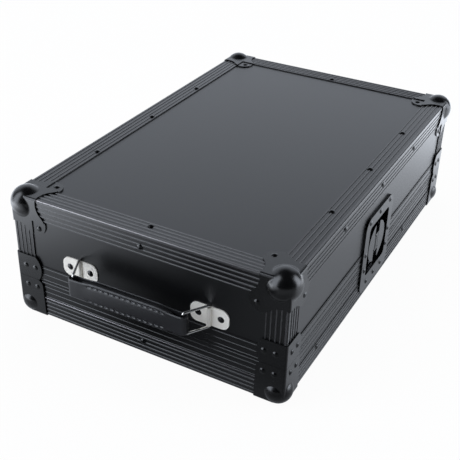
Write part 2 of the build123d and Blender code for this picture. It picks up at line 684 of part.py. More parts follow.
base_dish = dish & block(0, FAR, -FAR, FAR, -FAR, BASE_Z)
save("base_dish", drilled(drilled(base_dish, base_rivets), keeper_places))
keeper = block(PAN_BACK, PAN_BACK + KEEPER_T, DISH_Y - KEEPER_HALF, DISH_Y + KEEPER_HALF, KEEPER_LOW, KEEPER_TOP)
keeper += block(PAN_BACK, LIP_X, DISH_Y - LIP_HALF, DISH_Y + LIP_HALF, LIP_LOW, LIP_LOW + LIP_T)
save("latch_keeper", drilled(keeper, keeper_places))
save("latch_keeper_rivets", Compound(children=[rivet(p, KEEPER_HEAD_R) for p in keeper_places]))

# Latch rotor: spindle, nut behind the pan, eccentric, hub, rib and wing pins
nut_x = PAN_BACK - PAN_WALL - SPINDLE_GAP - NUT_T
rotor = rod((nut_x, DISH_Y, ROTOR_Z), (1, 0, 0), NUT_R, NUT_T)
rotor += rod((nut_x, DISH_Y, ROTOR_Z), (1, 0, 0), SPINDLE_R, ECC_X1 - nut_x)
rotor += rod((ECC_X0, DISH_Y, ROTOR_Z - ECC), (1, 0, 0), ECC_R, ECC_X1 - ECC_X0)
rotor += rod((ECC_X1, DISH_Y, ROTOR_Z), (1, 0, 0), HUB_R, HUB_X1 - ECC_X1)
lug_z = KNUCKLE_HALF + LUG_GAP
rotor += block(ECC_X1, LUG_X1, DISH_Y - RIB_HALF, DISH_Y + RIB_HALF, ROTOR_Z - lug_z, ROTOR_Z + lug_z)
for sign in (-1, 1):
    ends = sorted((ROTOR_Z + sign * lug_z, ROTOR_Z + sign * (lug_z + LUG_T)))
    rotor += block(HUB_X1 - HUB_T / 2, LUG_X1, DISH_Y - LUG_Y, DISH_Y + LUG_Y, ends[0], ends[1])
    pin_at = (WING_AXIS_X, DISH_Y + sign * WING_AXIS_Y, ROTOR_Z - lug_z - LUG_T / 2)
    rotor += rod(pin_at, (0, 0, 1), WING_PIN_R, 2 * lug_z + LUG_T)
save("latch_rotor", rotor)

# Wings: half discs hinged on the rotor
disc = Pos(DISH_Y, ROTOR_Z) * Circle(WING_R)
half = disc & flat(DISH_Y + WING_AXIS_Y, DISH_Y + FAR, ROTOR_Z - FAR, ROTOR_Z + FAR)
half -= flat(DISH_Y, DISH_Y + WING_NOTCH_Y, ROTOR_Z + KNUCKLE_HALF, ROTOR_Z + FAR)
half -= flat(DISH_Y, DISH_Y + WING_NOTCH_Y, ROTOR_Z - FAR, ROTOR_Z - KNUCKLE_HALF)
wing = upright_plate(half, WING_X0, WING_X0 + WING_T)
knuckle_at = (WING_AXIS_X, DISH_Y + WING_AXIS_Y, ROTOR_Z - KNUCKLE_HALF)
wing += rod(knuckle_at, (0, 0, 1), KNUCKLE_R, 2 * KNUCKLE_HALF)
wing -= rod(knuckle_at, (0, 0, 1), WING_PIN_R + WING_PIN_GAP, 2 * KNUCKLE_HALF)
save("latch_wing_back", wing)
save("latch_wing_front", mirror(wing, about=Plane(origin=(0, DISH_Y, 0), z_dir=(0, 1, 0))))

# Hook plate: window round the eccentric and a claw that goes under the keeper lip
window_low = ROTOR_Z - ECC - WINDOW_UP
window_top = ROTOR_Z - ECC + WINDOW_UP
shank_x = HOOK_X + HOOK_T
hook_low = window_low - HOOK_SHOULDER
hook_top = window_top + HOOK_HEAD
claw_low = CLAW_TOP - CLAW_H
shank_top = ROTOR_Z - HUB_R - SHANK_BELOW_HUB
hook = block(HOOK_X, shank_x, DISH_Y - HOOK_HALF, DISH_Y + HOOK_HALF, hook_low, hook_top)
hook -= block(0, FAR, DISH_Y - WINDOW_HALF, DISH_Y + WINDOW_HALF, window_low, window_top)
hook += block(shank_x, shank_x + SHANK_T, DISH_Y - CLAW_HALF, DISH_Y + CLAW_HALF, claw_low, shank_top)
hook += block(HOOK_X, shank_x + SHANK_T, DISH_Y - CLAW_HALF, DISH_Y + CLAW_HALF, claw_low, CLAW_TOP)
save("latch_hook", hook)


# Hinges: leaves on the rails, knuckles that take turns along the pin
def leaf_set(z_low, z_high, web_low, web_high, first):
    leaves = []
    step = LEAF_W / KNUCKLES
    for y in HINGE_Y:
        leaf = block(-RAIL_X - LEAF_T, -RAIL_X, y - LEAF_W / 2, y + LEAF_W / 2, z_low, z_high)
        for index in range(first, KNUCKLES, 2):
            y0 = y - LEAF_W / 2 + index * step + KNUCKLE_GAP / 2
            y1 = y0 + step - KNUCKLE_GAP
            leaf += block(HINGE_X, -RAIL_X, y0, y1, web_low, web_high)
            leaf += rod((HINGE_X, y0, PART_Z), (0, 1, 0), BARREL_R, y1 - y0)
        leaf -= rod((HINGE_X, y - LEAF_W, PART_Z), (0, 1, 0), PIN_R + PIN_GAP, 2 * LEAF_W)
        leaves.append(leaf)
    return leaves


leaf_clear = BARREL_R + LEAF_GAP
base_leaves = leaf_set(BASE_LEAF_LOW, PART_Z - leaf_clear, PART_Z - leaf_clear, PART_Z - PART_GAP, 0)
lid_leaves = leaf_set(PART_Z + leaf_clear, LID_LEAF_TOP, PART_Z + PART_GAP, PART_Z + leaf_clear, 1)
save("hinge_base_leaves", Compound(children=[drilled(leaf, base_rivets) for leaf in base_leaves]))
save("hinge_lid_leaves", Compound(children=[drilled(leaf, lid_rivets) for leaf in lid_leaves]))
pins = []
for y in HINGE_Y:
    half_pin = LEAF_W / 2 + KNUCKLE_GAP
    pin = rod((HINGE_X, y - half_pin, PART_Z), (0, 1, 0), PIN_R, 2 * half_pin)
    pin += rod((HINGE_X, y - half_pin - PIN_HEAD_T, PART_Z), (0, 1, 0), PIN_HEAD_R, PIN_HEAD_T)
    pin += rod((HINGE_X, y + half_pin, PART_Z), (0, 1, 0), PIN_HEAD_R, PIN_HEAD_T)
    pins.append(pin)
save("hinge_pins", Compound(children=pins))

# Handle brackets with a sleeve for the ring wire
bracket_face = Plane(origin=(BRACKET_X, -PANEL_Y, HANDLE_Z), x_dir=(1, 0, 0), z_dir=(0, -1, 0))
bracket = extrude(bracket_face * RectangleRounded(BRACKET_W, BRACKET_H, BRACKET_R), BRACKET_T)
sleeve_at = (BRACKET_X, RING_Y, HANDLE_Z - SLEEVE_H / 2)
bracket += rod(sleeve_at, (0, 0, 1), SLEEVE_R, SLEEVE_H) & block(0, FAR, -FAR, -PANEL_Y, 0, CASE_H)
bracket -= rod((BRACKET_X, RING_Y, 0), (0, 0, 1), WIRE_R + WIRE_GAP, CASE_H)
save("handle_bracket_right", drilled(bracket, handle_rivets))
save("handle_bracket_left", drilled(mirror(bracket, about=Plane.YZ), handle_rivets))


# Rings: one closed wire loop each, leaning towards the middle
def ring(pivot_x, lean):
    corners = ((0, -RING_ARM_Z), (RING_REACH, -RING_ARM_Z), (RING_REACH, RING_ARM_Z), (0, RING_ARM_Z))
    path = FilletPolyline(*corners, radius=RING_BEND, close=True)
    wire = sweep(Plane(origin=path @ 0, z_dir=path % 0) * Circle(WIRE_R), path=path)
    upright = Rot(0, 0, -90 + lean) * (Rot(90, 0, 0) * wire)
    return Pos(pivot_x, RING_Y, HANDLE_Z) * upright


save("handle_ring_left", ring(-BRACKET_X, LEAN_LEFT))
save("handle_ring_right", ring(BRACKET_X, -LEAN_RIGHT))

# Strap: a padded band with a loop round the outer leg of each ring
span_x = RIGHT_LEG[0] - LEFT_LEG[0]
span_y = RIGHT_LEG[1] - LEFT_LEG[1]
span = math.hypot(span_x, span_y)
strap_turn = math.degrees(math.atan2(span_y, span_x))
plan = Pos(span / 2, 0) * SlotCenterToCenter(span, 2 * STRAP_R)
band = extrude(plan, STRAP_MID_H / 2, both=True)
end_h = STRAP_END_H / 2
mid_h = STRAP_MID_H / 2
heights = (
    (-STRAP_R - PAST, -end_h), (STRAP_TAPER_0, -end_h), (STRAP_TAPER_1, -mid_h),
    (span - STRAP_TAPER_1, -mid_h), (span - STRAP_TAPER_0, -end_h), (span + STRAP_R + PAST, -end_h),
    (span + STRAP_R + PAST, end_h), (span - STRAP_TAPER_0, end_h), (span - STRAP_TAPER_1, mid_h),
    (STRAP_TAPER_1, mid_h), (STRAP_TAPER_0, end_h), (-STRAP_R - PAST, end_h),
)
silhouette = extrude(Plane.XZ * Polygon(*heights, align=None), 2 * STRAP_R, both=True)
band = band & silhouette
band -= rod((0, 0, -STRAP_MID_H), (0, 0, 1), WIRE_R + LOOP_GAP, 2 * STRAP_MID_H)
band -= rod((span, 0, -STRAP_MID_H), (0, 0, 1), WIRE_R + PLAY_GAP, 2 * STRAP_MID_H)
save("handle_strap", Pos(LEFT_LEG[0], LEFT_LEG[1], HANDLE_Z) * (Rot(0, 0, strap_turn) * band))

# Foam: a pad and a liner in the base, the same in the lid
pad_x = LINER_X - LINER_T - SOFT_GAP
pad_y = LINER_Y - LINER_T - SOFT_GAP
pad_low = FLOOR_TOP + SOFT_GAP
save("base_pad", block(-pad_x, pad_x, -pad_y, pad_y, pad_low, pad_low + PAD_H))
lid_pad_top = ROOF_LOW - SOFT_GAP
lid_pad_low = lid_pad_top - LID_PAD_H
save("lid_pad", block(-pad_x, pad_x, -pad_y, pad_y, lid_pad_low, lid_pad_top))


def liner(z_low, z_high):
    clear_x = LINER_X - LINER_T
    clear_y = LINER_Y - LINER_T
    ring_block = block(-LINER_X, LINER_X, -LINER_Y, LINER_Y, z_low, z_high)
    ring_block -= block(-clear_x, clear_x, -clear_y, clear_y, z_low, z_high)
    return ring_block - pan_cut


save("base_liner", liner(pad_low, BASE_Z - SOFT_GAP))
save("lid_liner", liner(LID_Z + SOFT_GAP, lid_pad_top))
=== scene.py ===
import math

import bmesh
import bpy
from mathutils import Matrix, Vector


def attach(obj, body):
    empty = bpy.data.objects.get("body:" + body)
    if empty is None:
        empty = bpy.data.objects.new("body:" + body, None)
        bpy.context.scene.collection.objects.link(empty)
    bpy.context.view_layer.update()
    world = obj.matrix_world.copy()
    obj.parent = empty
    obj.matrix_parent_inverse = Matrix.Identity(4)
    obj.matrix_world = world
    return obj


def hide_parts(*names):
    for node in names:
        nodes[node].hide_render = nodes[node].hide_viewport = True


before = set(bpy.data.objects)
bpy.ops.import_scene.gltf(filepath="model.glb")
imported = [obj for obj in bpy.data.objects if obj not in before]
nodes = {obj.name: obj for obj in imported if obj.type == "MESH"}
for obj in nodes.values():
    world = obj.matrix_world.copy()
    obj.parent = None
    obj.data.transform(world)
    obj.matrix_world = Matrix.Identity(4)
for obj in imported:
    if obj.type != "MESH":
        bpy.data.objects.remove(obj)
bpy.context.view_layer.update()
scene = bpy.context.scene
MM = 0.001

# Where the middle of the case at its lower flange lies in the frame, in millimetres
CASE_AT = Vector((0.0, 13.4404, 4.9))


def at(x, y, z):
    return (Vector((x, y, z)) + CASE_AT) * MM


# Camera, solved from the photo's edges, for a square picture
FOCAL_IN_WIDTHS = 1.85752
SENSOR_MM = 36.0
EYE = (431.0, -886.6, 624.9)
LOOK = (-0.3966, 0.7551, -0.5220)
RIGHT = (0.8779, 0.4783, 0.0249)


def make_camera():
    data = bpy.data.cameras.new("camera")
    data.sensor_width = SENSOR_MM
    data.lens = FOCAL_IN_WIDTHS * SENSOR_MM
    data.clip_start = 0.01
    data.clip_end = 50.0
    camera = bpy.data.objects.new("camera", data)
    scene.collection.objects.link(camera)
    look = Vector(LOOK).normalized()
    right = Vector(RIGHT)
    right = (right - look * right.dot(look)).normalized()
    up = right.cross(look).normalized()
    turn = Matrix((right, up, -look)).transposed().to_4x4()
    camera.matrix_world = Matrix.Translation(at(*EYE)) @ turn
    scene.camera = camera


make_camera()
scene.view_settings.view_transform = "Standard"


# Short ways to write node trees
def new_tree(owner):
    owner.use_nodes = True
    owner.node_tree.nodes.clear()
    return owner.node_tree


def node(tree, kind, **values):
    made = tree.nodes.new(kind)
    for key, value in values.items():
        if hasattr(made, key):
            setattr(made, key, value)
        else:
            made.inputs[key.replace("_", " ")].default_value = value
    return made


def plug(tree, source, target):
    if isinstance(source, (int, float)):
        target.default_value = source
    else:
        tree.links.new(source, target)


def calc(tree, operation, *sources):
    made = node(tree, "ShaderNodeMath", operation=operation)
    for source, target in zip(sources, made.inputs):
        plug(tree, source, target)
    return made.outputs[0]


def ramp(tree, source, low, high, to_low=0.0, to_high=1.0, kind="SMOOTHSTEP"):
    made = node(tree, "ShaderNodeMapRange", interpolation_type=kind)
    plug(tree, source, made.inputs["Value"])
    for key, value in (("From Min", low), ("From Max", high), ("To Min", to_low), ("To Max", to_high)):
        made.inputs[key].default_value = value
    return made.outputs[0]


# Studio: dark overhead, one broad pale wall behind, a soft panel on either side
AMBIENT = 0.03
STUDIO_TINT = (0.84, 0.90, 1.0, 1.0)
FLOOR_TINT = (0.87, 0.92, 1.0, 1.0)
PANELS = (
    # azimuth, half width, lowest and highest elevation in degrees, softness, strength
    (126.0, 54.0, -20.0, 46.0, 14.0, 1.22),
    (-137.0, 20.0, -8.0, 58.0, 7.0, 4.4),
    (28.0, 17.0, -8.0, 42.0, 7.0, 5.8),
)


def panel_mask(tree, direction, azimuth, half_width, low, high, soft):
    angle = math.radians(azimuth)
    flat = calc(tree, "SQRT", calc(tree, "ADD", calc(tree, "POWER", direction[0], 2.0),
                                   calc(tree, "POWER", direction[1], 2.0)))
    along = calc(tree, "ADD", calc(tree, "MULTIPLY", direction[0], math.cos(angle)),
                 calc(tree, "MULTIPLY", direction[1], math.sin(angle)))
    aside = calc(tree, "ARCCOSINE", calc(tree, "DIVIDE", along, calc(tree, "MAXIMUM", flat, 0.001)))
    rise = calc(tree, "ARCTAN2", direction[2], flat)
    wide = ramp(tree, aside, math.radians(half_width - soft), math.radians(half_width + soft), 1.0, 0.0)
    above = ramp(tree, rise, math.radians(low - soft), math.radians(low + soft))
    below = ramp(tree, rise, math.radians(high - soft), math.radians(high + soft), 1.0, 0.0)
    return calc(tree, "MULTIPLY", wide, calc(tree, "MULTIPLY", above, below))


def make_world():
    world = bpy.data.worlds.new("studio")
    scene.world = world
    tree = new_tree(world)
    out = node(tree, "ShaderNodeOutputWorld")
    coord = node(tree, "ShaderNodeTexCoord")
    split = node(tree, "ShaderNodeSeparateXYZ")
    plug(tree, coord.outputs["Generated"], split.inputs[0])
    light = AMBIENT
    for azimuth, half_width, low, high, soft, strength in PANELS:
        mask = panel_mask(tree, split.outputs, azimuth, half_width, low, high, soft)
        light = calc(tree, "ADD", light, calc(tree, "MULTIPLY", mask, strength))
    studio = node(tree, "ShaderNodeBackground", Color=STUDIO_TINT)
    plug(tree, light, studio.inputs["Strength"])
    white = node(tree, "ShaderNodeBackground", Color=(1.0, 1.0, 1.0, 1.0), Strength=1.0)
    path = node(tree, "ShaderNodeLightPath")
    seen = calc(tree, "MAXIMUM", path.outputs["Is Camera Ray"], path.outputs["Is Transmission Ray"])
    mix = node(tree, "ShaderNodeMixShader")
    plug(tree, seen, mix.inputs[0])
    plug(tree, studio.outputs[0], mix.inputs[1])
    plug(tree, white.outputs[0], mix.inputs[2])
    plug(tree, mix.outputs[0], out.inputs[0])


def lamp(name, place, target, size, watts, mirrored):
    data = bpy.data.lights.new(name, "AREA")
    data.shape = "RECTANGLE"
    data.size = size[0]
    data.size_y = size[1]
    data.energy = watts
    made = bpy.data.objects.new(name, data)
    scene.collection.objects.link(made)
    made.location = place
    made.rotation_euler = (Vector(target) - Vector(place)).to_track_quat("-Z", "Y").to_euler()
    made.visible_glossy = mirrored


# Floor: white to the camera. In reflections it glows with painted light and a painted shadow of the
# case: dark in front of the handle side, paler to the right, and brighter with the distance from the
# case. Lengths in metres, strengths as emission.
FLOOR_HALF = 6.0
FLOOR_SEEN = 0.96
FLOOR_GREY = 0.8
CASE_HALF = (0.173, 0.265)
BESIDE_CASE = 0.62
OPEN_FLOOR = 1.5
WHOLE_FLOOR = 1.06
FAR_RIGHT_GAIN = 1.1
LEFT_GAIN = 1.35
FRONT_LOSS = 0.97
FRONT_RIGHT_LOSS = 0.70
STREAK_AIM = math.radians(223.8)
STREAK = 4.0


def painted_floor_light(tree, x, y):
    """How bright the floor glows where the case mirrors it: painted light, with the case's painted
    shadow close to it.
    """
    beside = calc(tree, "SUBTRACT", calc(tree, "ABSOLUTE", x), CASE_HALF[0])
    beyond = calc(tree, "SUBTRACT", calc(tree, "ABSOLUTE", y), CASE_HALF[1])
    away = calc(tree, "MAXIMUM", beside, beyond)
    # Painted shadow of the case close to its sides; the open floor further out glows brighter
    light = ramp(tree, away, 0.03, 0.35, BESIDE_CASE, OPEN_FLOOR)
    to_back = ramp(tree, y, 0.02, 0.42, 0.0, FAR_RIGHT_GAIN)
    far_right = calc(tree, "MULTIPLY", to_back, ramp(tree, x, 0.0, 0.15))
    light = calc(tree, "MULTIPLY", light, calc(tree, "ADD", far_right, WHOLE_FLOOR))
    light = calc(tree, "MULTIPLY", light, ramp(tree, x, -0.42, -0.14, LEFT_GAIN, 1.0))
    # Painted shadow in front of the handle side, deepest to the right
    in_front = calc(tree, "MULTIPLY", ramp(tree, y, -0.31, -0.16, 1.0, 0.0), ramp(tree, x, -0.20, -0.02))
    lost = calc(tree, "MULTIPLY", in_front, ramp(tree, x, -0.02, 0.09, FRONT_LOSS, FRONT_RIGHT_LOSS))
    light = calc(tree, "MULTIPLY", light, calc(tree, "SUBTRACT", 1.0, lost))
    # A painted streak of light out to the front left, which the left balls mirror
    aim_x, aim_y = math.cos(STREAK_AIM), math.sin(STREAK_AIM)
    along = calc(tree, "ADD", calc(tree, "MULTIPLY", x, aim_x), calc(tree, "MULTIPLY", y, aim_y))
    across = calc(tree, "ADD", calc(tree, "MULTIPLY", x, -aim_y), calc(tree, "MULTIPLY", y, aim_x))
    length = ramp(tree, along, 0.36, 0.75, 0.0, STREAK)
    width = ramp(tree, calc(tree, "ABSOLUTE", across), 0.12, 0.30, 1.0, 0.0)
    return calc(tree, "ADD", light, calc(tree, "MULTIPLY", length, width))


def make_floor():
    mesh = bpy.data.meshes.new("floor")
    h = FLOOR_HALF
    mesh.from_pydata([(-h, -h, 0), (h, -h, 0), (h, h, 0), (-h, h, 0)], [], [(0, 1, 2, 3)])
    floor = bpy.data.objects.new("floor", mesh)
    scene.collection.objects.link(floor)
    mat = bpy.data.materials.new("floor")
    mesh.materials.append(mat)
    tree = new_tree(mat)
    out = node(tree, "ShaderNodeOutputMaterial")
    path = node(tree, "ShaderNodeLightPath")
    diffuse = node(tree, "ShaderNodeBsdfDiffuse", Color=(FLOOR_GREY, FLOOR_GREY, FLOOR_GREY, 1.0))
    glow = node(tree, "ShaderNodeEmission", Color=(1.0, 1.0, 1.0, 1.0), Strength=1.0)
    coord = node(tree, "ShaderNodeTexCoord")
    split = node(tree, "ShaderNodeSeparateXYZ")
    plug(tree, coord.outputs["Object"], split.inputs[0])
    # Glow seen only by glossy rays: painted light and painted shadow on the floor
    sheen = node(tree, "ShaderNodeEmission", Color=FLOOR_TINT)
    plug(tree, painted_floor_light(tree, split.outputs["X"], split.outputs["Y"]), sheen.inputs["Strength"])
    first = node(tree, "ShaderNodeMixShader")
    plug(tree, path.outputs["Is Glossy Ray"], first.inputs[0])
    plug(tree, diffuse.outputs[0], first.inputs[1])
    plug(tree, sheen.outputs[0], first.inputs[2])
    second = node(tree, "ShaderNodeMixShader")
    plug(tree, calc(tree, "MULTIPLY", path.outputs["Is Camera Ray"], FLOOR_SEEN), second.inputs[0])
    plug(tree, first.outputs[0], second.inputs[1])
    plug(tree, glow.outputs[0], second.inputs[2])
    plug(tree, second.outputs[0], out.inputs[0])


make_world()
make_floor()
lamp("overhead", (-0.3, 0.3, 2.2), (0, 0, 0.1), (1.6, 1.6), 20.0, mirrored=False)


# Materials: a base colour with slow clouds, fine grain in roughness and bump
def surface(name, base, rough, metallic=0.0, specular=0.5, grain=600.0, depth=0.02, spread=0.06,
            mottle=0.15, cloud=12.0, stretch=(1.0, 1.0, 1.0), sheen=0.0):
    mat = bpy.data.materials.new(name)
    tree = new_tree(mat)
    out = node(tree, "ShaderNodeOutputMaterial")
    bsdf = node(tree, "ShaderNodeBsdfPrincipled", Metallic=metallic, Specular_IOR_Level=specular,
                Sheen_Weight=sheen)
    plug(tree, bsdf.outputs[0], out.inputs[0])
    coord = node(tree, "ShaderNodeTexCoord")
    scale = node(tree, "ShaderNodeMapping", Scale=stretch)
    plug(tree, coord.outputs["Object"], scale.inputs["Vector"])
    clouds = node(tree, "ShaderNodeTexNoise", Scale=cloud, Detail=4.0, Roughness=0.55)
    plug(tree, scale.outputs[0], clouds.inputs["Vector"])
    fine = node(tree, "ShaderNodeTexNoise", Scale=grain, Detail=3.0, Roughness=0.6)
    plug(tree, scale.outputs[0], fine.inputs["Vector"])
    colour = node(tree, "ShaderNodeMix", data_type="RGBA")
    colour.inputs[6].default_value = (*(c * (1.0 - mottle) for c in base), 1.0)
    colour.inputs[7].default_value = (*(c * (1.0 + mottle) for c in base), 1.0)
    plug(tree, clouds.outputs["Fac"], colour.inputs[0])
    plug(tree, colour.outputs[2], bsdf.inputs["Base Color"])
    smoothest, roughest = max(0.02, rough - spread), min(1.0, rough + spread)
    rougher = ramp(tree, fine.outputs["Fac"], 0.0, 1.0, smoothest, roughest, "LINEAR")
    plug(tree, rougher, bsdf.inputs["Roughness"])
    bump = node(tree, "ShaderNodeBump", Strength=1.0, Distance=depth * MM)
    plug(tree, fine.outputs["Fac"], bump.inputs["Height"])
    plug(tree, bump.outputs[0], bsdf.inputs["Normal"])
    return mat


ANODISED = (0.0026, 0.0025, 0.0027)
ALONG_X = (0.04, 1, 1)
ALONG_Y = (1, 0.04, 1)
ALONG_Z = (1, 1, 0.04)
laminate = surface("laminate", (0.0026, 0.0027, 0.0031), 0.32, grain=900.0, depth=0.008, cloud=5.0)
ANODISED_LOOK = dict(grain=500.0, depth=0.001, spread=0.02, mottle=0.06)
profile_x = surface("profile_x", ANODISED, 0.27, stretch=ALONG_X, **ANODISED_LOOK)
profile_y = surface("profile_y", ANODISED, 0.27, stretch=ALONG_Y, **ANODISED_LOOK)
profile_z = surface("profile_z", ANODISED, 0.27, stretch=ALONG_Z, **ANODISED_LOOK)
lacquer = surface("lacquer", (0.0018, 0.0018, 0.0020), 0.25, grain=300.0, depth=0.004,
                  spread=0.03, cloud=30.0)
rivet_mat = surface("rivet", (0.0015, 0.0015, 0.0016), 0.12, specular=0.36, grain=500.0, depth=0.002,
                    spread=0.03, cloud=90.0)
zinc = surface("zinc", (0.42, 0.42, 0.44), 0.34, metallic=1.0, grain=700.0, depth=0.01, cloud=60.0)
nickel = surface("nickel", (0.95, 0.91, 0.83), 0.34, metallic=0.2, spread=0.05, grain=350.0,
                 depth=0.01, mottle=0.04)
chrome = surface("chrome", (0.80, 0.79, 0.76), 0.17, metallic=1.0, spread=0.05, grain=350.0,
                 depth=0.006, mottle=0.04)
strap_mat = surface("strap", (0.017, 0.017, 0.0185), 0.36, grain=420.0, depth=0.03, cloud=40.0)
# Strap core: a real piece, coloured far darker than the skin as painted shade in the gap between the
# strap's layers
strap_core_shade = surface("strap_core_painted_shade", (0.004, 0.004, 0.0045), 0.5, grain=600.0, depth=0.03, cloud=60.0)
thread_mat = surface("thread", (0.06, 0.06, 0.065), 0.5, grain=2400.0, depth=0.05, cloud=300.0)
foam_mat = surface("foam", (0.012, 0.012, 0.0135), 0.95, specular=0.2, grain=900.0, depth=0.5,
                   cloud=120.0, sheen=0.2)


# Painted highlights: rib tops within this depth of a profile's outer faces are painted paler where light
# would catch them; a wider painted highlight line runs along the top front edge
RIB_HIGHLIGHT_DEPTH = 0.22 * MM
EDGE_HIGHLIGHT_WIDTH = 1.0 * MM
RIB_HIGHLIGHT = (0.036, 0.035, 0.036, 1.0)
EDGE_HIGHLIGHT = (0.52, 0.50, 0.52, 1.0)


def with_painted_highlights(name, mat, edge=False):
    """A profile's material with painted highlights: paler rib tops, and on request a painted highlight
    line on its top front edge that fades towards the right.
    """
    points = [v.co for v in nodes[name].data.vertices]
    own = mat.copy()
    own.name = name + "_painted_highlights_mat"
    tree = own.node_tree
    coord = node(tree, "ShaderNodeTexCoord")
    split = node(tree, "ShaderNodeSeparateXYZ")
    plug(tree, coord.outputs["Object"], split.inputs[0])
    x, y, z = split.outputs
    sides = {
        "left": (x, min(p.x for p in points)),
        "right": (x, max(p.x for p in points)),
        "front": (y, min(p.y for p in points)),
        "back": (y, max(p.y for p in points)),
        "top": (z, max(p.z for p in points)),
    }
    depths = {}
    for side, (place, limit) in sides.items():
        depths[side] = calc(tree, "ABSOLUTE", calc(tree, "SUBTRACT", place, limit))
    nearest = depths["left"]
    for side in ("right", "front", "back", "top"):
        nearest = calc(tree, "MINIMUM", nearest, depths[side])
    # Painted highlight on the rib tops, where they stand proud of the grooves
    masks = [(ramp(tree, nearest, RIB_HIGHLIGHT_DEPTH * 0.5, RIB_HIGHLIGHT_DEPTH, 1.0, 0.0), RIB_HIGHLIGHT)]
    # Painted highlight along the top front edge, fading towards the right as the light falls
    if edge:
        off = calc(tree, "MAXIMUM", depths["front"], depths["top"])
        line = ramp(tree, off, EDGE_HIGHLIGHT_WIDTH * 0.7, EDGE_HIGHLIGHT_WIDTH, 1.0, 0.0)
        edge_highlight_fade = ramp(tree, x, -0.12, 0.13, 1.0, 0.1)
        masks.append((calc(tree, "MULTIPLY", line, edge_highlight_fade), EDGE_HIGHLIGHT))
    bsdf = next(n for n in tree.nodes if n.type == "BSDF_PRINCIPLED")
    shade = bsdf.inputs["Base Color"].links[0].from_socket
    for mask, colour in masks:
        pale = node(tree, "ShaderNodeMix", data_type="RGBA")
        plug(tree, mask, pale.inputs[0])
        plug(tree, shade, pale.inputs[6])
        pale.inputs[7].default_value = colour
        shade = pale.outputs[2]
    plug(tree, shade, bsdf.inputs["Base Color"])
    return own


def paint(name, mat):
    obj = nodes[name]
    obj.data.materials.clear()
    obj.data.materials.append(mat)


def soften(obj, width, segments=2, angle=38.0):
    mod = obj.modifiers.new("edge", "BEVEL")
    mod.width = width * MM
    mod.segments = segments
    mod.limit_method = "ANGLE"
    mod.angle_limit = math.radians(angle)


def mesh_piece(name, bm, mat, body, smooth=True):
    mesh = bpy.data.meshes.new(name)
    bm.to_mesh(mesh)
    bm.free()
    for face in mesh.polygons:
        face.use_smooth = smooth
    mesh.materials.append(mat)
    piece = bpy.data.objects.new(name, mesh)
    scene.collection.objects.link(piece)
    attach(piece, body)
    return piece


for name in nodes:
    if name.endswith("rivets"):
        paint(name, rivet_mat)
    elif "_wall_" in name or name in ("lid_roof", "base_floor"):
        paint(name, laminate)
        soften(nodes[name], 0.3)
    elif "_profile_" in name or "_rail_" in name:
        lengthwise = name.endswith(("front", "back", "ends"))
        finish = profile_x if lengthwise else profile_y
        # Profiles get painted highlights on their rib tops; front profiles also get a painted highlight
        # line on the top front edge
        if "_profile_" in name:
            finish = with_painted_highlights(name, finish, edge=name.endswith("_front"))
        paint(name, finish)
        if lengthwise:
            soften(nodes[name], 0.16)
    elif "posts" in name:
        # Posts get painted highlights on their rib tops
        paint(name, with_painted_highlights(name, profile_z))
        soften(nodes[name], 0.3)
    elif "corner" in name or "braces" in name or name in ("lid_dish", "base_dish"):
        paint(name, lacquer)
        soften(nodes[name], 0.3)
    elif name in ("latch_wing_back", "latch_wing_front"):
        paint(name, lacquer)
        soften(nodes[name], 0.35)
    elif name == "latch_rotor":
        paint(name, lacquer)
    elif name.startswith("latch"):
        paint(name, zinc)
    elif name.startswith("hinge"):
        paint(name, lacquer)
    elif name.startswith("handle_bracket"):
        paint(name, nickel)
        soften(nodes[name], 0.35)
    elif name.startswith("handle_ring"):
        paint(name, chrome)


# Strap: its own axes run along the handle, away from the case and up
STRAP_LEFT = (-70.676, -293.081, 83.5)
STRAP_RIGHT = (66.752, -290.928, 83.5)
STRAP_R = 5.5
STRAP_SKIN = 2.1
STRAP_END_H = 23.4
STRAP_MID_H = 27.6
STRAP_TAPER = (9.0, 33.0)
STRAP_DRAWN = 0.75
STRAP_DRAWN_OVER = (6.0, 26.0)
STRAP_EDGE_R = 2.0
STRAP_EDGE_FALL = 1.3
BACK_PUFF = 0.45
STITCH_IN = 3.9
STITCH_PITCH = 7.0
STITCH_COUNT = 14
STITCH_HALF = 2.1
THREAD_R = 0.46
THREAD_SUNK = 0.62
THREAD_BULGE = 0.28
SPAN = math.dist(STRAP_LEFT, STRAP_RIGHT)
U_AXIS = (Vector(STRAP_RIGHT) - Vector(STRAP_LEFT)).normalized()
V_AXIS = Vector((U_AXIS.y, -U_AXIS.x, 0.0))
STITCH_START = (SPAN - STITCH_PITCH * (STITCH_COUNT - 1)) / 2


def strap_point(u, v, w):
    place = Vector(STRAP_LEFT) + U_AXIS * u + V_AXIS * v + Vector((0, 0, w))
    return at(*place)


def eased(value, low, high):
    t = min(1.0, max(0.0, (value - low) / (high - low)))
    return t * t * (3 - 2 * t)


def drawn_in(u):
    """How much thinner the strap is away from its end loops."""
    return STRAP_DRAWN * eased(min(u, SPAN - u), *STRAP_DRAWN_OVER)


def strap_height(u):
    inward = min(u, SPAN - u)
    return STRAP_END_H + (STRAP_MID_H - STRAP_END_H) * eased(inward, *STRAP_TAPER)


def stitch_dip(u, w, half):
    row = half - STITCH_IN
    across = (abs(w) - row) / 0.75
    if abs(across) > 3 or u < STITCH_START - 6 or u > SPAN - STITCH_START + 6:
        return 0.0
    near = (u - STITCH_START) / STITCH_PITCH
    near = near - min(STITCH_COUNT - 1, max(0, round(near)))
    along = abs(near) * STITCH_PITCH / 2.0
    hole = 1.6 * math.exp(-across * across) * math.exp(-(along**4))
    pucker = 0.18 * math.exp(-across * across / 3.0)
    return hole + pucker


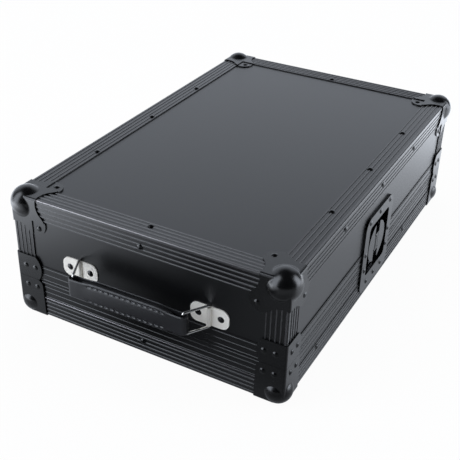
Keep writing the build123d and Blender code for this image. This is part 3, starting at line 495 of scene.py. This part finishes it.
def crown(u, w, half):
    inward = min(u, SPAN - u)
    full = eased(inward, 10.0, 30.0)
    row = half - STITCH_IN
    middle = max(0.0, 1.0 - (w / row) ** 2)
    margin = max(0.0, 1.0 - ((abs(w) - row - 1.3) / 1.8) ** 2)
    return full * (1.0 * middle**0.6 + 0.25 * margin - stitch_dip(u, w, half))


def loop_stations():
    stations = []
    straight = 176
    turn = 22
    for index in range(straight):
        stations.append((SPAN * index / straight, 0.0, 1.0, "front"))
    for index in range(turn):
        angle = math.pi * index / turn
        stations.append((SPAN, math.sin(angle), math.cos(angle), "right"))
    for index in range(straight):
        stations.append((SPAN * (1 - index / straight), 0.0, -1.0, "back"))
    for index in range(turn):
        angle = math.pi * index / turn
        stations.append((0.0, -math.sin(angle), -math.cos(angle), "left"))
    return stations


def make_strap():
    bm = bmesh.new()
    rings = []
    rows = 30
    for u, out_u, out_v, side in loop_stations():
        half = strap_height(u) / 2
        drawn = drawn_in(u)
        ring = []
        for index in range(rows + 1):
            w = -half + 2 * half * index / rows
            edge = max(0.0, (abs(w) - (half - STRAP_EDGE_R)) / STRAP_EDGE_R)
            rounded = 1.0 - math.sqrt(max(0.0, 1.0 - edge * edge))
            reach = STRAP_R - drawn - rounded * STRAP_EDGE_FALL
            if side in ("front", "back"):
                reach += crown(u, w, half) * (1.0 if side == "front" else BACK_PUFF)
            ring.append((w, reach))
        inner = STRAP_R - drawn - STRAP_SKIN
        for index in range(9):
            w = half - 0.5 - (2 * half - 1.0) * index / 8
            edge = max(0.0, (abs(w) - (half - 1.4)) / 0.9)
            ring.append((w, inner + 0.5 * min(1.0, edge) ** 2))
        rings.append([bm.verts.new(strap_point(u + out_u * d, out_v * d, w)) for w, d in ring])
    count = len(rings[0])
    for first, second in zip(rings, rings[1:] + rings[:1]):
        for index in range(count):
            after = (index + 1) % count
            bm.faces.new((first[index], first[after], second[after], second[index]))
    bmesh.ops.recalc_face_normals(bm, faces=bm.faces)
    strap = mesh_piece("strap_skin", bm, strap_mat, "strap")
    mod = strap.modifiers.new("smooth", "SUBSURF")
    mod.levels = 1
    mod.render_levels = 1
    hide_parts("handle_strap")


def make_strap_core():
    bm = bmesh.new()
    rings = []
    steps = 60
    for index in range(steps + 1):
        u = 12.0 + (SPAN - 24.0) * index / steps
        half = strap_height(u) / 2 - 1.7
        inward = min(u, SPAN - u)
        thick = STRAP_R - drawn_in(u) - STRAP_SKIN + 0.25
        thick *= 0.25 + 0.75 * eased(inward, 11.0, 20.0)
        ring = []
        for corner in range(20):
            angle = 2 * math.pi * corner / 20
            cx, cy = math.cos(angle), math.sin(angle)
            v = thick * math.copysign(abs(cx) ** 0.4, cx)
            w = half * math.copysign(abs(cy) ** 0.35, cy)
            ring.append(bm.verts.new(strap_point(u, v, w)))
        rings.append(ring)
    for first, second in zip(rings, rings[1:]):
        for index in range(20):
            after = (index + 1) % 20
            bm.faces.new((first[index], first[after], second[after], second[index]))
    bm.faces.new(rings[0])
    bm.faces.new(list(reversed(rings[-1])))
    bmesh.ops.recalc_face_normals(bm, faces=bm.faces)
    # Core in the darker colour: painted shade in the gap between the layers
    core = mesh_piece("strap_core", bm, strap_core_shade, "strap")


def make_stitches():
    bm = bmesh.new()
    for side, lift in ((1, 1.0), (-1, BACK_PUFF)):
        for row_sign in (-1, 1):
            for index in range(STITCH_COUNT):
                u0 = STITCH_START + index * STITCH_PITCH
                rings = []
                for step in range(9):
                    t = step / 8 * 2 - 1
                    u = u0 + t * STITCH_HALF
                    half = strap_height(u) / 2
                    w = row_sign * (half - STITCH_IN)
                    face = STRAP_R - drawn_in(u) - THREAD_SUNK * lift + THREAD_BULGE * (1 - t * t)
                    radius = THREAD_R * math.sqrt(max(0.02, 1 - t**6))
                    ring = []
                    for corner in range(10):
                        angle = 2 * math.pi * corner / 10
                        v = side * (face + radius * math.cos(angle))
                        ring.append(bm.verts.new(strap_point(u, v, w + radius * math.sin(angle))))
                    rings.append(ring)
                for first, second in zip(rings, rings[1:]):
                    for corner in range(10):
                        after = (corner + 1) % 10
                        bm.faces.new((first[corner], first[after], second[after], second[corner]))
                bm.faces.new(rings[0])
                bm.faces.new(list(reversed(rings[-1])))
    bmesh.ops.recalc_face_normals(bm, faces=bm.faces)
    mesh_piece("strap_thread", bm, thread_mat, "strap")


make_strap()
make_strap_core()
make_stitches()


# Foam lining: crowned pads, and strips round the walls
SIDE_PULL = 0.004


def foam_slab(name, low, high, body, crowns, soft=3.0, cells=(24, 36)):
    low, high = Vector(low), Vector(high)
    middle = (low + high) / 2
    half = (high - low) / 2
    bm = bmesh.new()
    grids = []
    for side in (-1, 1):
        grid = []
        for i in range(cells[0] + 1):
            line = []
            for j in range(cells[1] + 1):
                a = math.sin(math.pi / 2 * (2 * i / cells[0] - 1))
                b = math.sin(math.pi / 2 * (2 * j / cells[1] - 1))
                fall = max(0.0, abs(a) * half.x - (half.x - soft)) / soft
                drop = max(0.0, abs(b) * half.y - (half.y - soft)) / soft
                edge = min(1.0, math.hypot(fall, drop))
                lift = half.z - soft * 0.5 * (1 - math.sqrt(max(0.0, 1 - edge * edge)))
                puff = crowns if side > 0 else 0.0
                lift += puff * ((1 - a**4) * (1 - b**4) - 1)
                pull = 1.0 - SIDE_PULL * (1 - abs(a)) * abs(b)
                x, y = middle.x + a * half.x * pull, middle.y + b * half.y
                line.append(bm.verts.new(at(x, y, middle.z + side * lift)))
            grid.append(line)
        grids.append(grid)
    lower, upper = grids
    for i in range(cells[0]):
        for j in range(cells[1]):
            bm.faces.new((upper[i][j], upper[i + 1][j], upper[i + 1][j + 1], upper[i][j + 1]))
            bm.faces.new((lower[i][j], lower[i][j + 1], lower[i + 1][j + 1], lower[i + 1][j]))
    rim = [(i, 0) for i in range(cells[0])] + [(cells[0], j) for j in range(cells[1])]
    rim += [(i, cells[1]) for i in range(cells[0], 0, -1)] + [(0, j) for j in range(cells[1], 0, -1)]
    for (i, j), (k, m) in zip(rim, rim[1:] + rim[:1]):
        bm.faces.new((lower[i][j], lower[k][m], upper[k][m], upper[i][j]))
    bmesh.ops.recalc_face_normals(bm, faces=bm.faces)
    piece = mesh_piece(name, bm, foam_mat, body)
    return piece


def foam_strip(name, outline, thick_from, thick_to, axis, body):
    bm = bmesh.new()
    rings = []
    for depth in (thick_from, thick_to):
        ring = []
        for s, z in outline:
            point = (depth, s, z) if axis == "x" else (s, depth, z)
            ring.append(bm.verts.new(at(*point)))
        rings.append(ring)
    bm.faces.new(rings[0])
    bm.faces.new(list(reversed(rings[1])))
    count = len(outline)
    for index in range(count):
        after = (index + 1) % count
        bm.faces.new((rings[0][index], rings[0][after], rings[1][after], rings[1][index]))
    bmesh.ops.recalc_face_normals(bm, faces=bm.faces)
    piece = mesh_piece(name, bm, foam_mat, body)
    soften(piece, 1.1, 3)
    return piece


LINER_X = 163.2
LINER_Y = 255.2
LINER_T = 5.0
PAD_X = 157.9
PAD_Y = 249.9
NOTCH = (-39.6, 29.6)
FLOOR_Z = 8.8
ROOF_Z = 148.2
BASE_FOAM = (FLOOR_Z, 48.85)
LID_FOAM = (49.75, ROOF_Z)
NOTCH_LOW = 28.4
NOTCH_TOP = 100.6
PAD_H = 20.0
PAD_CROWN = 1.2
LID_PAD_H = 13.2

base_pad = foam_slab("base_pad_foam", (-PAD_X, -PAD_Y, FLOOR_Z), (PAD_X, PAD_Y, FLOOR_Z + PAD_H),
                     "base", PAD_CROWN)
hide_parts("base_pad")
lid_pad = foam_slab("lid_pad_foam", (-PAD_X, -PAD_Y, ROOF_Z - LID_PAD_H), (PAD_X, PAD_Y, ROOF_Z),
                    "lid", 0.0)
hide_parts("lid_pad")
for body, (low, high) in (("base", BASE_FOAM), ("lid", LID_FOAM)):
    strips = []
    inner_y = LINER_Y - LINER_T
    plain = [(-inner_y, low), (inner_y, low), (inner_y, high), (-inner_y, high)]
    across = [(-LINER_X, low), (LINER_X, low), (LINER_X, high), (-LINER_X, high)]
    if body == "base":
        notched = [(-inner_y, low), (inner_y, low), (inner_y, high), (NOTCH[1], high),
                   (NOTCH[1], NOTCH_LOW), (NOTCH[0], NOTCH_LOW), (NOTCH[0], high), (-inner_y, high)]
    else:
        notched = [(-inner_y, low), (NOTCH[0], low), (NOTCH[0], NOTCH_TOP), (NOTCH[1], NOTCH_TOP),
                   (NOTCH[1], low), (inner_y, low), (inner_y, high), (-inner_y, high)]
    strips.append(foam_strip(body + "_foam_front", across, -LINER_Y, -inner_y, "y", body))
    strips.append(foam_strip(body + "_foam_back", across, inner_y, LINER_Y, "y", body))
    strips.append(foam_strip(body + "_foam_left", plain, -LINER_X, LINER_T - LINER_X, "x", body))
    strips.append(foam_strip(body + "_foam_right", notched, LINER_X - LINER_T, LINER_X, "x", body))
    for strip in strips:
        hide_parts(body + "_liner")
